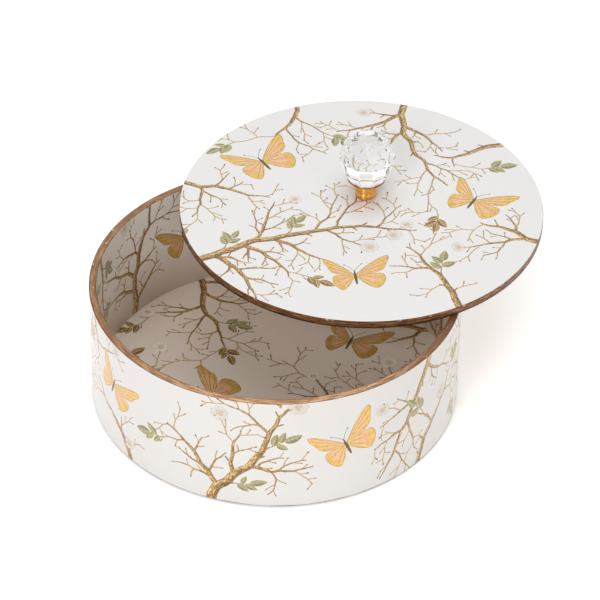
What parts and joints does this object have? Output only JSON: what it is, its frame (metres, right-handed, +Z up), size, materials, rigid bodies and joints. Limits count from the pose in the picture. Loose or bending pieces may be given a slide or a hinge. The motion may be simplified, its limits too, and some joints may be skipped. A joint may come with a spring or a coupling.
{
  "type": "roti box",
  "caption": "Round flat-bottomed MDF roti box covered in printed sheet, with a loose flat lid and a cut-crystal knob on a gold collar; holds a stack of flatbreads.",
  "frame": {"origin": "on the axis of the round box, on the surface that its base stands on", "axes": "+Z up along the box's axis; -Y faces the picture's viewer and +X is to the viewer's right; the loose lid lies on the rim, pushed towards +X and +Y"},
  "size_m": [0.2949, 0.3139, 0.1405],
  "materials": {
    "felt": "short dark felt under the base",
    "board": "plain MDF",
    "painted_edge": "MDF edge painted antique brown-gold, with streaks",
    "print": "off-white printed sheet under gloss lacquer, with a gold, sage and peach botanical print",
    "gold": "polished gold plating",
    "crystal": "clear cut crystal, flat facets",
    "steel": "zinc-plated steel"
  },
  "bodies": {
    "box": {"base_felt": "felt", "box_floor": "board", "box_wall": "painted_edge", "outer_print": "print", "inner_print": "print", "floor_print": "print"},
    "lid": {"lid_board": "painted_edge", "lid_top_print": "print", "lid_under_print": "print", "knob_collar": "gold", "knob_crystal": "crystal", "knob_screw": "steel", "knob_washer": "steel"}
  },
  "joints": [
    {"name": "lid_slide", "type": "slide", "parent": "box", "child": "lid", "axis": [0.5962, 0.8028, 0], "range_m": [-0.092, 0.15]}
  ]
}
